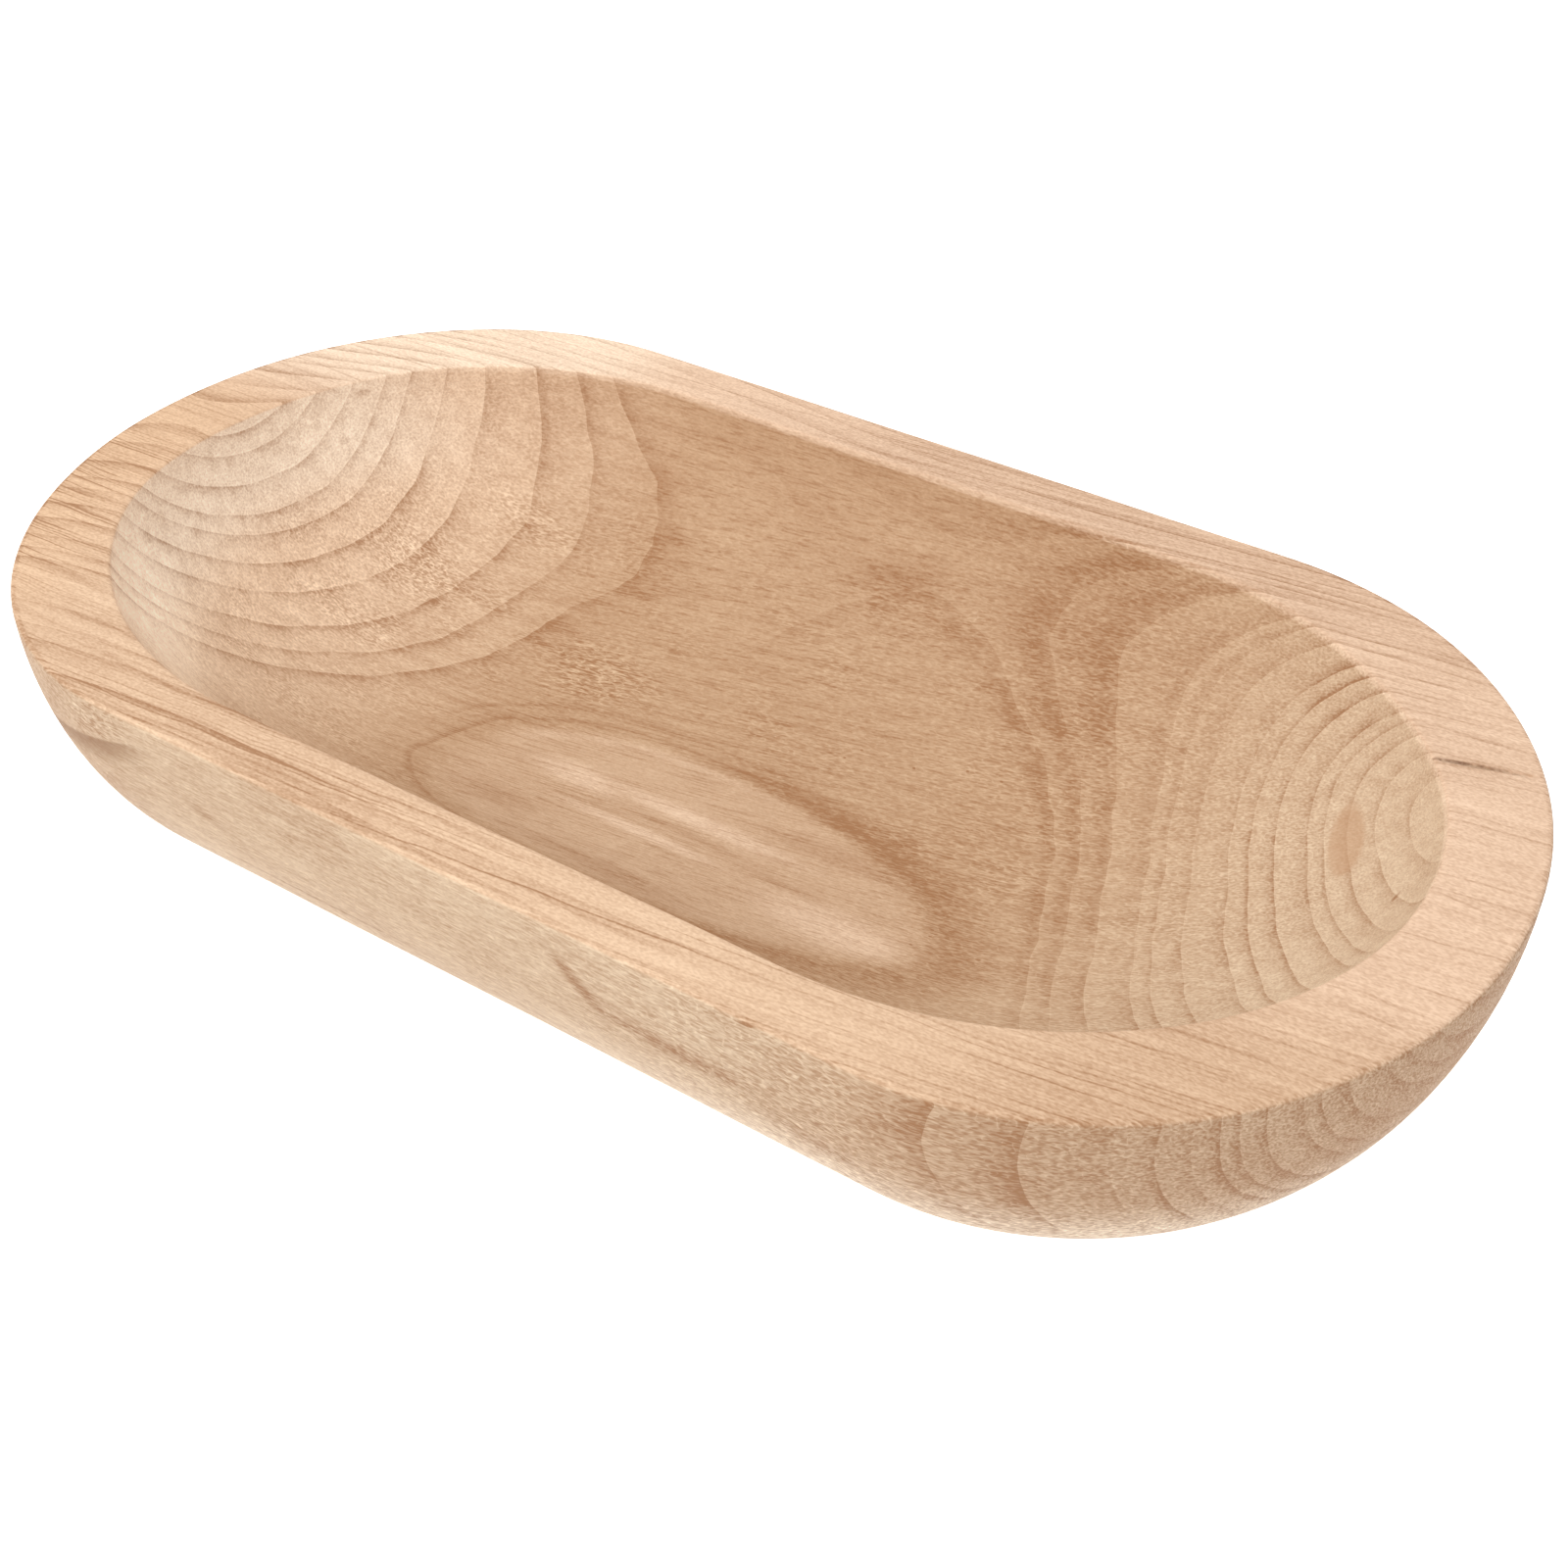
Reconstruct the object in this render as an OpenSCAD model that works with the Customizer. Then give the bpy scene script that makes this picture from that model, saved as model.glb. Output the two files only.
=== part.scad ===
// Dough bowl carved from one block of wood: a long outline with straight sides and round ends,
// a broad flat rim, walls that curve in to a flat base, and one smooth hollow.
// X runs along the bowl, Y across it and Z up; the origin is the middle of the flat base.

/* [Outline] */
// Length over both tips
bowl_length = 460; // [360:5:700]
// Width across the straight sides
bowl_width = 250; // [190:5:340]
// Height from the flat base to the rim
bowl_height = 72; // [50:1:110]
// Length of each round end, from the last of the straight side to the tip
end_length = 113; // [70:1:160]

/* [Wall] */
// How far the side wall curves in between the rim and the flat base
wall_sweep = 42; // [15:1:65]
// Radius of the softened outer edge of the rim
outer_edge_radius = 1.5; // [0.5:0.1:4]

/* [Hollow] */
// Width of the flat rim along the straight sides
side_rim = 20; // [12:1:35]
// Width of the flat rim at the two tips
tip_rim = 25; // [14:1:45]
// Length of each round end of the opening
opening_end_length = 116; // [70:1:160]
// Wood left under the deepest part of the hollow
floor_thickness = 14; // [6:1:30]
// Height above the rim at which the hollow's curve would stand upright: more gives flatter walls
curve_rise = 16; // [4:1:40]
// Size of the small slope that softens the inner edge of the rim
inner_edge_slope = 1.2; // [0.4:0.1:3]

/* [Hidden] */
$fn = 160;
half_width = bowl_width / 2;
straight_half = bowl_length / 2 - end_length;
end_stretch = end_length / half_width;
opening_half_width = half_width - side_rim;
opening_straight_half = bowl_length / 2 - tip_rim - opening_end_length;
opening_end_stretch = opening_end_length / opening_half_width;
curve_height = bowl_height - floor_thickness + curve_rise;
curve_half_width = opening_half_width / sqrt(1 - pow(curve_rise / curve_height, 2));
slope_depth = 2 * inner_edge_slope;

// Half of the block's cross-section, seen along the bowl, with Y to the right and Z up
module block_section() {
    wall_start = half_width - wall_sweep;
    shoulder = bowl_height - outer_edge_radius;
    square([wall_start, bowl_height]);
    intersection() {
        translate([wall_start, shoulder]) scale([wall_sweep, shoulder]) circle(1);
        translate([wall_start, 0]) square([wall_sweep, shoulder]);
    }
    translate([wall_start, shoulder]) square([wall_sweep - outer_edge_radius, outer_edge_radius]);
    translate([half_width - outer_edge_radius, shoulder]) circle(outer_edge_radius);
}

// Half of the hollow's cross-section, drawn on above the rim to where its curve stands upright
module hollow_section() {
    intersection() {
        translate([0, bowl_height + curve_rise]) scale([curve_half_width, curve_height]) circle(1);
        translate([0, floor_thickness]) square([curve_half_width, curve_height]);
    }
}

// Half of the wedge that takes the sharp inner edge off the rim
module edge_section() {
    lip = opening_half_width + inner_edge_slope;
    polygon([
        [0, bowl_height - slope_depth],
        [lip - slope_depth, bowl_height - slope_depth],
        [lip + slope_depth, bowl_height + slope_depth],
        [0, bowl_height + slope_depth]
    ]);
}

// A half cross-section run straight along the bowl and turned round both ends,
// where stretch is an end's length over its half width
module long_shape(straight, stretch) {
    rotate([90, 0, 90]) linear_extrude(height = 2 * straight, center = true) {
        children();
        mirror([1, 0]) children();
    }
    for (side = [0, 180]) {
        rotate([0, 0, side]) translate([straight, 0, 0]) scale([stretch, 1, 1])
            rotate([0, 0, -90]) rotate_extrude(angle = 180) children();
    }
}

module bowl() {
    color("burlywood") difference() {
        long_shape(straight_half, end_stretch) block_section();
        long_shape(opening_straight_half, opening_end_stretch) hollow_section();
        long_shape(opening_straight_half, opening_end_stretch) edge_section();
    }
}

bowl();
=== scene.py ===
# %% [markdown]
# # A carved dough bowl in pale wood
# The real bowl is one block of pale, ring-porous wood, hollowed and sanded by hand. Its whole
# look comes from two things: the long shape with its broad flat rim, and the growth rings
# that the carving cuts open. So this lesson makes one mesh with care, and then spends most of
# its cells on the wood. Its box is kept, because the finished bowl has to stay inside it.

import math

import bmesh
import bpy
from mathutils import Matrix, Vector, noise


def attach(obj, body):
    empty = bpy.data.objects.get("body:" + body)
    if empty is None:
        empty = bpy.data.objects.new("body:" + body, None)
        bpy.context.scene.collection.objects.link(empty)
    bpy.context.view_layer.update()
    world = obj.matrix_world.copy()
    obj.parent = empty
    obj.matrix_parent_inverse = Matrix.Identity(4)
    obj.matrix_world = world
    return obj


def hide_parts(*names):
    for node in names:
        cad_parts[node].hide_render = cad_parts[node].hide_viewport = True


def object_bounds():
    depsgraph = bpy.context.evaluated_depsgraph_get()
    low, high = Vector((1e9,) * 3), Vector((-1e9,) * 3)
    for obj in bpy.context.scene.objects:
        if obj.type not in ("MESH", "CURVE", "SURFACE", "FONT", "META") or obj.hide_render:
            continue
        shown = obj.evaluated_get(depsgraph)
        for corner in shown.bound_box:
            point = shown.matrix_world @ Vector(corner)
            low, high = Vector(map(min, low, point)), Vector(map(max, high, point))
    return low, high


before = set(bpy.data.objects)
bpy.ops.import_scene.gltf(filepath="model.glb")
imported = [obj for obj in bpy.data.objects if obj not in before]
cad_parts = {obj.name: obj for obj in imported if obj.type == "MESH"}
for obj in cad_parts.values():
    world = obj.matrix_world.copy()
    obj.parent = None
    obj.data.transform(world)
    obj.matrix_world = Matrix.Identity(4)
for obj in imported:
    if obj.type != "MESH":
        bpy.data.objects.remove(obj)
cad_low, cad_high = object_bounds()
scene = bpy.context.scene
print("box of the solid in mm:", [round(side * 1000, 1) for side in cad_high - cad_low])

# %% [markdown]
# ## Camera
# The angle of view decides which rings show, so the camera comes first. A bowl on a table is
# looked at from above and from one corner: here 34 degrees round from the long side and 39
# degrees up, from half a metre away. A camera that stands on a turned arm needs only a point
# to aim at, two angles and a distance.

# %% Place the camera
CAMERA_AIM = Vector((0.0525, -0.0491, 0.072))
CAMERA_ROUND = math.radians(34.0055)
CAMERA_UP = math.radians(38.7651)
CAMERA_DISTANCE = 0.5424
CAMERA_LENS = 48.43
FILM_WIDTH = 36
NEAREST_SEEN = 0.01

lens = bpy.data.cameras.new("camera")
lens.lens = CAMERA_LENS
lens.sensor_width = FILM_WIDTH
lens.clip_start = NEAREST_SEEN
camera = bpy.data.objects.new("camera", lens)
scene.collection.objects.link(camera)
scene.camera = camera
towards_camera = Vector((
    math.sin(CAMERA_ROUND) * math.cos(CAMERA_UP),
    -math.cos(CAMERA_ROUND) * math.cos(CAMERA_UP),
    math.sin(CAMERA_UP),
))
camera.location = CAMERA_AIM + towards_camera * CAMERA_DISTANCE
camera.rotation_mode = "QUATERNION"
camera.rotation_quaternion = (-towards_camera).to_track_quat("-Z", "Y")
print("camera stands at", [round(value, 3) for value in camera.location])

# %% [markdown]
# ## Helpers for node trees
# The sky, the wood and the floor are all trees of small nodes, so a few helpers keep them
# readable. `start_tree` gives an empty tree to work in. `node` makes one node of the tree in
# hand, and `put` feeds a number, a colour or another node's result into a socket. `calc` is
# one Math node, and `most` keeps the largest of some values.

# %% Write the node helpers
def start_tree(owner):
    """The emptied node tree of a world or a material."""
    owner.use_nodes = True
    owner.node_tree.nodes.clear()
    return owner.node_tree


def node(kind, **settings):
    """One node of the tree in hand, with its settings."""
    made = tree.nodes.new("ShaderNode" + kind)
    for name, value in settings.items():
        setattr(made, name, value)
    return made


def put(value, socket):
    """Feeds a number, a colour or another node's result into a socket."""
    if isinstance(value, bpy.types.NodeSocket):
        tree.links.new(value, socket)
    else:
        socket.default_value = value


def calc(operation, *values):
    """One Math node."""
    made = node("Math", operation=operation)
    for value, socket in zip(values, made.inputs):
        put(value, socket)
    return made.outputs[0]


def most(first, *others):
    """The largest of the values."""
    for value in others:
        first = calc("MAXIMUM", first, value)
    return first


print("node helpers ready")

# %% [markdown]
# ## Light from the sky
# Bare wood looks its best in soft light, so that the hollow shades gently and the rim stays
# even. An even sky gives most of it. Rays from the camera and rays that are mirrored see a
# full white sky, which keeps the background white, and all others see the dimmer one.

# %% Light the sky
SKY_LIGHT = 0.72
WHITE = (1, 1, 1, 1)

world = bpy.data.worlds.new("studio")
scene.world = world
tree = start_tree(world)
ray = node("LightPath").outputs
choose = node("MixShader")
sees_white = most(ray["Is Camera Ray"], ray["Is Glossy Ray"], ray["Is Transmission Ray"])
put(sees_white, choose.inputs[0])
for light, socket in zip((SKY_LIGHT, 1.0), choose.inputs[1:]):
    background = node("Background")
    put(light, background.inputs["Strength"])
    put(WHITE, background.inputs["Color"])
    put(background.outputs[0], socket)
put(choose.outputs[0], node("OutputWorld").inputs["Surface"])
print("sky of strength", SKY_LIGHT, "in", len(tree.nodes), "nodes")

# %% [markdown]
# ## One broad lamp
# A single large lamp over the left shoulder gives the walls their turn. A square of more than
# a metre throws no hard shadow. Sky and lamp together light a level surface at about 1, so a
# colour renders close to the value that is written for it.

# %% Hang the lamp
LAMP_POWER = 11.0
LAMP_SIDE = 1.2
LAMP_PLACE = Vector((-0.3, -0.85, 1.35))

lamp_data = bpy.data.lights.new("broad_lamp", "AREA")
lamp_data.shape = "SQUARE"
lamp_data.size = LAMP_SIDE
lamp_data.energy = LAMP_POWER
lamp = bpy.data.objects.new("broad_lamp", lamp_data)
scene.collection.objects.link(lamp)
lamp.location = LAMP_PLACE
lamp.rotation_mode = "QUATERNION"
lamp.rotation_quaternion = (-LAMP_PLACE).to_track_quat("-Z", "Y")
scene.view_settings.view_transform = "Standard"
print("lamp of", LAMP_POWER, "watts at", round(LAMP_PLACE.length, 2), "m")

# %% [markdown]
# ## Sizes of the bowl
# Every measure is in millimetres, as a carver would write it down. The outline has straight
# sides and two round ends. The ends of the opening are longer and rounder than the outline's,
# which makes the rim broader at the tips than at the sides. The block's length, width and
# height come from the frame's box, so the mesh can't drift away from the solid.

# %% Measure the block
def mm(value):
    """Millimetres as metres."""
    return value / 1000


half_length = cad_high.x * 1000
half_width = cad_high.y * 1000
bowl_height = cad_high.z * 1000
END_LENGTH = 113
WALL_SWEEP = 42
OUTER_EDGE = 1.5
SIDE_RIM = 20
TIP_RIM = 25
OPENING_END = 116
FLOOR_THICKNESS = 14
CURVE_RISE = 16
INNER_EDGE = 1.2

opening_half_width = half_width - SIDE_RIM
straight_outside = half_length - END_LENGTH
straight_inside = half_length - TIP_RIM - OPENING_END
stretch_outside = END_LENGTH / half_width
stretch_inside = OPENING_END / opening_half_width
curve_height = bowl_height - FLOOR_THICKNESS + CURVE_RISE
curve_half_width = opening_half_width / math.sqrt(1 - (CURVE_RISE / curve_height) ** 2)
print("straight side", round(straight_outside * 2), "mm")
print("hollow", round(curve_height - CURVE_RISE), "mm deep")

# %% [markdown]
# ## Half of the cross-section
# A bowl like this could be sculpted, but its walls are clean curves, and a curve that is
# turned keeps them clean. So the mesh starts as one chain of points: out along the base, up
# the wall, over the softened edge, across the rim, and down the hollow to its middle. Each
# curved stretch is a single vertex spun about an axis and then squeezed into part of an
# ellipse. A small note on each vertex, from 0 outside to 1 in the hollow, says how it follows
# the longer ends of the opening later.

# %% Draw the chain
BASE_RADII = (20, 40, 60, 74)
WALL_STEPS = 22
QUARTER_TURN = math.radians(90)

bowl_mesh = bmesh.new()
hollow_note = bowl_mesh.verts.layers.float.new("hollow_share")


def add_point(radius, height, hollow_share, after=None):
    """One vertex of the chain, joined to the one before it."""
    point = bowl_mesh.verts.new((0, mm(-radius), mm(height)))
    point[hollow_note] = hollow_share
    if after:
        bowl_mesh.edges.new((after, point))
    return point


def add_curve(start, centre_radius, centre_height, turn, squeeze, steps, hollow_share):
    """Spins the last point about a centre, then squeezes the new points upright."""
    centre = Vector((0, mm(-centre_radius), mm(centre_height)))
    start.co.z = centre.z + (start.co.z - centre.z) / squeeze
    before = set(bowl_mesh.verts)
    bmesh.ops.spin(
        bowl_mesh, geom=[start], cent=centre, axis=(1, 0, 0), angle=turn, steps=steps,
        use_merge=False, use_duplicate=False,
    )
    new_points = [point for point in bowl_mesh.verts if point not in before]
    for point in [start, *new_points]:
        point.co.z = centre.z + (point.co.z - centre.z) * squeeze
    for point in new_points:
        point[hollow_note] = hollow_share
    return new_points[-1]


shoulder = bowl_height - OUTER_EDGE
wall_foot = half_width - WALL_SWEEP
last = add_point(0, 0, 0)
for radius in (*BASE_RADII, wall_foot):
    last = add_point(radius, 0, 0, last)
last = add_curve(last, wall_foot, shoulder, -QUARTER_TURN, shoulder / WALL_SWEEP, WALL_STEPS, 0)
print("wall reaches", round(-last.co.y * 1000, 2), "mm from the middle")

# %% [markdown]
# ## Rim and hollow
# On the real bowl the outer edge is sanded round, and the inner edge is crisp, because the
# hollow's wall meets the rim at a steep angle. The hollow is one ellipse, drawn on above the
# rim to where its wall would stand upright, so only its lower part is turned here. A short
# holding line beside each edge keeps the flat rim from shading round.

# %% Finish the chain
RIM_STEPS = 9
HOLDING_SHARE = 0.02
EDGE_STEPS = 5
HOLLOW_STEPS = 52
INNER_TURN = math.radians(71)

rim_start = half_width - OUTER_EDGE
last = add_curve(last, rim_start, shoulder, -QUARTER_TURN, 1, EDGE_STEPS, 0)
hollow_top = bowl_height + CURVE_RISE
edge_drop = INNER_EDGE * (1 - math.cos(INNER_TURN))
lip_depth = (edge_drop + CURVE_RISE) / curve_height
lip_radius = curve_half_width * math.sqrt(1 - lip_depth**2)
rim_stop = lip_radius + INNER_EDGE * math.sin(INNER_TURN)
rim_width = rim_start - rim_stop
even_shares = [step / RIM_STEPS for step in range(1, RIM_STEPS)]
for share in (HOLDING_SHARE, *even_shares, 1 - HOLDING_SHARE, 1.0):
    last = add_point(rim_start - rim_width * share, bowl_height, share, last)
last = add_curve(last, rim_stop, bowl_height - INNER_EDGE, -INNER_TURN, 1, EDGE_STEPS, 1)
squeeze = curve_height / curve_half_width
start_turn = math.atan2((hollow_top - last.co.z * 1000) / squeeze, -last.co.y * 1000)
last = add_curve(last, 0, hollow_top, QUARTER_TURN - start_turn, squeeze, HOLLOW_STEPS, 1)
print("chain of", len(bowl_mesh.verts), "points, floor at", round(last.co.z * 1000, 2), "mm")

# %% [markdown]
# ## Round end, straight side, other end
# Turning the chain through half a circle makes one round end. Stretching it along the bowl
# gives the end its real length, a little more for the hollow than for the outside. The open
# border then runs as one loop round the whole section. Extruding that loop towards the
# middle makes half of the straight side, and a mirror makes the rest. So the surface is one
# closed skin, as it is on a block of wood.

# %% Turn and stretch the end
END_STEPS = 112
SIDE_STEPS = 26
SAME_PLACE = 1e-6

bmesh.ops.spin(
    bowl_mesh, geom=bowl_mesh.verts[:] + bowl_mesh.edges[:], cent=(0, 0, 0), axis=(0, 0, 1),
    angle=math.pi, steps=END_STEPS, use_merge=False, use_duplicate=False,
)
bmesh.ops.remove_doubles(bowl_mesh, verts=bowl_mesh.verts, dist=SAME_PLACE)
for point in bowl_mesh.verts:
    share = point[hollow_note]
    stretch = stretch_outside + (stretch_inside - stretch_outside) * share
    straight = straight_outside + (straight_inside - straight_outside) * share
    point.co.x = point.co.x * stretch + mm(straight)

border = [edge for edge in bowl_mesh.edges if edge.is_boundary]
for step in range(SIDE_STEPS, 0, -1):
    grown = bmesh.ops.extrude_edge_only(bowl_mesh, edges=border)["geom"]
    border = [part for part in grown if isinstance(part, bmesh.types.BMEdge)]
    new_points = [part for part in grown if isinstance(part, bmesh.types.BMVert)]
    bmesh.ops.scale(bowl_mesh, vec=((step - 1) / step, 1, 1), verts=new_points)
bmesh.ops.mirror(
    bowl_mesh, geom=bowl_mesh.verts[:] + bowl_mesh.edges[:] + bowl_mesh.faces[:],
    axis="X", merge_dist=SAME_PLACE,
)
bmesh.ops.remove_doubles(bowl_mesh, verts=bowl_mesh.verts, dist=SAME_PLACE)
bmesh.ops.recalc_face_normals(bowl_mesh, faces=bowl_mesh.faces)
open_edges = [edge for edge in bowl_mesh.edges if not edge.is_manifold]
print("faces", len(bowl_mesh.faces), "open edges", len(open_edges))

# %% [markdown]
# ## Hand-carved unevenness
# Nothing on a hand-sanded bowl is dead flat. A slow noise pushes each point a fraction of a
# millimetre inwards along its normal, so light slides over the walls a little unevenly. The
# base stays flat, because the bowl stands on it.

# %% Wear the surface
HOLLOW_WAVE = 0.35
OUTSIDE_WAVE = 0.25
WAVE_LENGTH = 38
BASE_LEVEL = 0.5
IN_HOLLOW = 0.99

bowl_mesh.normal_update()
for point in bowl_mesh.verts:
    if point.co.z < mm(BASE_LEVEL):
        continue
    wave = noise.noise(point.co * (1000 / WAVE_LENGTH))
    depth = HOLLOW_WAVE if point[hollow_note] > IN_HOLLOW else OUTSIDE_WAVE
    point.co -= point.normal * mm(depth) * (0.5 + 0.5 * wave)
print("waves of", OUTSIDE_WAVE, "mm outside and", HOLLOW_WAVE, "mm in the hollow")

# %% [markdown]
# ## An opening that isn't quite even
# The carver left the rim a little broader at the far left and by the right tip. So the
# opening is pulled inwards there by some millimetres. The pull is full in the hollow, fades
# across the rim and ends at the outer edge, so the outline stays as it is. Each pull has a
# place, a reach and a direction.

# %% Pull the opening in
PULLS = (
    (Vector((-205, 25)), 75, Vector((3.2, 0))),
    (Vector((165, 80)), 60, Vector((-0.6, -1.8))),
)

for place_of_pull, reach, pull in PULLS:
    for point in bowl_mesh.verts:
        away = (point.co.xy * 1000 - place_of_pull).length / reach
        if away < 1:
            share = (1 - away**2) ** 2 * point[hollow_note]
            point.co.x += mm(pull.x * share)
            point.co.y += mm(pull.y * share)
print("opening pulled in at", len(PULLS), "places")

# %% [markdown]
# ## Fine cuts for a crack
# A short crack runs across the rim by the right tip, where the wood dried too fast. It could
# be painted on, but a crack swallows light, so it is cut as real depth. The rim's faces are
# far too large for that, so flat cuts along it and across it first give the rim a fine strip
# of points. A cut through faces keeps the skin closed.

# %% Cut the strip
CRACK_START = Vector((188.3, 55.2))
CRACK_STOP = Vector((213, 62.2))
LIP = 0.5
REACH = 1.4
CRACK_CELL = 0.9
STRIP_HALF_WIDTH = 5
STRIP_SPARE = 2
RIM_LEVEL = 70

crack_length = (CRACK_STOP - CRACK_START).length
crack_way = (CRACK_STOP - CRACK_START) / crack_length
crack_side = Vector((-crack_way.y, crack_way.x))


def on_crack(spot_on_rim):
    """How far a place lies along the crack and beside it, in mm."""
    from_start = spot_on_rim.xy * 1000 - CRACK_START
    return from_start.dot(crack_way), from_start.dot(crack_side)


def by_crack(face):
    """Whether a face of the flat rim lies close to the crack."""
    run, beside = on_crack(face.calc_center_median())
    level = face.normal.z > 0.99 and face.verts[0].co.z > mm(RIM_LEVEL)
    close = -STRIP_SPARE < run < crack_length + STRIP_SPARE and abs(beside) < STRIP_HALF_WIDTH
    return level and close


def cut(pieces, run, beside, facing):
    """One flat upright cut through some faces; returns them with the new ones."""
    middle = CRACK_START + crack_way * run + crack_side * beside
    done = bmesh.ops.bisect_plane(
        bowl_mesh, geom=pieces, dist=SAME_PLACE,
        plane_co=(mm(middle.x), mm(middle.y), 0), plane_no=(facing.x, facing.y, 0),
    )
    return done["geom"]


strip = []
for face in filter(by_crack, bowl_mesh.faces):
    strip += [face, *face.edges, *face.verts]
strip = list(dict.fromkeys(strip))
for beside in (-REACH, -LIP, 0, LIP, REACH):
    strip = cut(strip, 0, beside, crack_side)
for step in range(round(crack_length / CRACK_CELL) + 1):
    strip = cut(strip, step * CRACK_CELL, 0, crack_way)
strip_points = [part for part in strip if isinstance(part, bmesh.types.BMVert)]
print("strip of", len(strip_points), "points round the crack")

# %% [markdown]
# ## The crack itself
# Points of the strip are pushed away from its middle line: the lips by as much as the torn gap
# differs from them, their neighbours less, the strip's edge not at all. Points within the lips
# also sink. The two sides have a noise of their own, because torn fibres never match. The
# crack opens quickly at the hollow, has its belly ten millimetres on, and ends shallow.

# %% Open the crack
CRACK_DEPTH = 1.9
OPENS_IN = 1.5
CLOSES_IN = 12
BELLY_AT = 10
BELLY_REACH = 4
BELLY_SHARE = 0.6
GAP_SHARES = (0.3, 2.4)
TORN_SHARES = (0.45, 1.1)

pushed = 0
for point in strip_points:
    run, beside = on_crack(point.co)
    across = abs(beside)
    open_share = min(1, max(0, run) / OPENS_IN, max(0, crack_length - run) / CLOSES_IN)
    if open_share == 0 or across > REACH:
        continue
    torn = 0.5 + noise.noise(Vector((run * 0.6, 3 * beside, 7)))
    belly = 1 + BELLY_SHARE * math.exp(-((run - BELLY_AT) / BELLY_REACH) ** 2)
    gap_share = open_share * belly * (TORN_SHARES[0] + TORN_SHARES[1] * torn)
    half_gap = LIP * min(GAP_SHARES[1], max(GAP_SHARES[0], gap_share))
    if across < LIP:
        point.co.z -= mm(CRACK_DEPTH * open_share * (1 - across / LIP))
        pushed += 1
        moved_to = across * half_gap / LIP
    else:
        moved_to = REACH - (REACH - across) * (REACH - half_gap) / (REACH - LIP)
    apart_by = math.copysign(abs(moved_to - across), beside)
    point.co.x += mm(crack_side.x * apart_by)
    point.co.y += mm(crack_side.y * apart_by)
print("crack", round(crack_length, 1), "mm long,", pushed, "points pushed down")

# %% [markdown]
# ## The finished piece
# The mesh becomes one object at the origin. It takes the place of the solid, which is hidden,
# and rides on the same body.

# %% Make the object
for face in bowl_mesh.faces:
    face.smooth = True
bowl_data = bpy.data.meshes.new("carved_bowl")
bowl_mesh.to_mesh(bowl_data)
bowl_mesh.free()
bowl = bpy.data.objects.new("carved_bowl", bowl_data)
scene.collection.objects.link(bowl)
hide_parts("bowl")
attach(bowl, "root")
triangles = sum(len(face.vertices) - 2 for face in bowl_data.polygons)
print("carved bowl:", triangles, "triangles")

# %% [markdown]
# ## Helpers for the wood
# A wood material is a long sum of small steps. Four of them come back most, so they get
# names of their own: `times`, `less`, `more`, which adds a share of one value to another, and
# `off`, which says how far a value is from a middle.

# %% Write the sums
wood = bpy.data.materials.new("pale_wood")
tree = start_tree(wood)


def times(first, *others):
    """All the values multiplied."""
    for value in others:
        first = calc("MULTIPLY", first, value)
    return first


def less(value, other):
    """The first value less the second."""
    return calc("SUBTRACT", value, other)


def more(part, share, value):
    """The value, and a share of the part on top."""
    return calc("MULTIPLY_ADD", part, share, value)


def off(value, middle):
    """How far a value is from a middle, to either side."""
    return calc("ABSOLUTE", less(value, middle))


print("sums ready for", wood.name)

# %% [markdown]
# ## Fades and tones
# `fade` turns a range of values into 0 to 1, or into any other two values. It is how the
# wood says where something is: `fade(x, 0, 60)` is 0 on the left, and 1 from 60 mm right of
# the middle on. `blend` mixes two colours. `tone` writes a colour as the picture values 0 to
# 255 that a painter would read off a sample.

# %% Write the fades
def fade(value, start, stop, low=0.0, high=1.0):
    """Goes smoothly from low to high as value goes from start to stop."""
    made = node("MapRange", interpolation_type="SMOOTHSTEP")
    for given, socket in zip((value, start, stop, low, high), made.inputs):
        put(given, socket)
    return made.outputs[0]


def blend(share, first, second):
    """Mixes two colours."""
    made = node("Mix", data_type="RGBA")
    put(share, made.inputs[0])
    put(first, made.inputs[6])
    put(second, made.inputs[7])
    return made.outputs[2]


def tone(red, green, blue):
    """A colour from picture values 0 to 255."""
    def light(value):
        share = value / 255
        return share / 12.92 if share <= 0.04045 else ((share + 0.055) / 1.055) ** 2.4
    return (light(red), light(green), light(blue), 1)


print("middle grey is a light of", round(tone(128, 128, 128)[0], 3))

# %% [markdown]
# ## Places and soft noise
# Wood is uneven in a way that follows its fibres, so each noise here lives in cells that are
# long along the bowl and narrow across it. `cloud` reads such a noise as a value, and
# `wander` uses it to push a place aside, which makes straight lines sway.

# %% Write the noise helpers
in_mm = node("VectorMath", operation="SCALE")
put(node("TexCoord").outputs["Object"], in_mm.inputs[0])
put(1000, in_mm.inputs["Scale"])
place = in_mm.outputs[0]


def stretched(where, length, width):
    """The place measured in cells that are long along the bowl and narrow across it."""
    made = node("VectorMath", operation="MULTIPLY")
    put(where, made.inputs[0])
    put((1 / length, 1 / width, 1 / width), made.inputs[1])
    return made.outputs[0]


def noise_node(where, length, width, detail):
    """A noise in long cells."""
    made = node("TexNoise", noise_dimensions="3D")
    put(stretched(where, length, width), made.inputs["Vector"])
    put(1, made.inputs["Scale"])
    put(detail, made.inputs["Detail"])
    return made


def cloud(where, length, width, detail=2.0):
    """Soft noise from 0 to 1 in long cells."""
    return noise_node(where, length, width, detail).outputs["Fac"]


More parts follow.
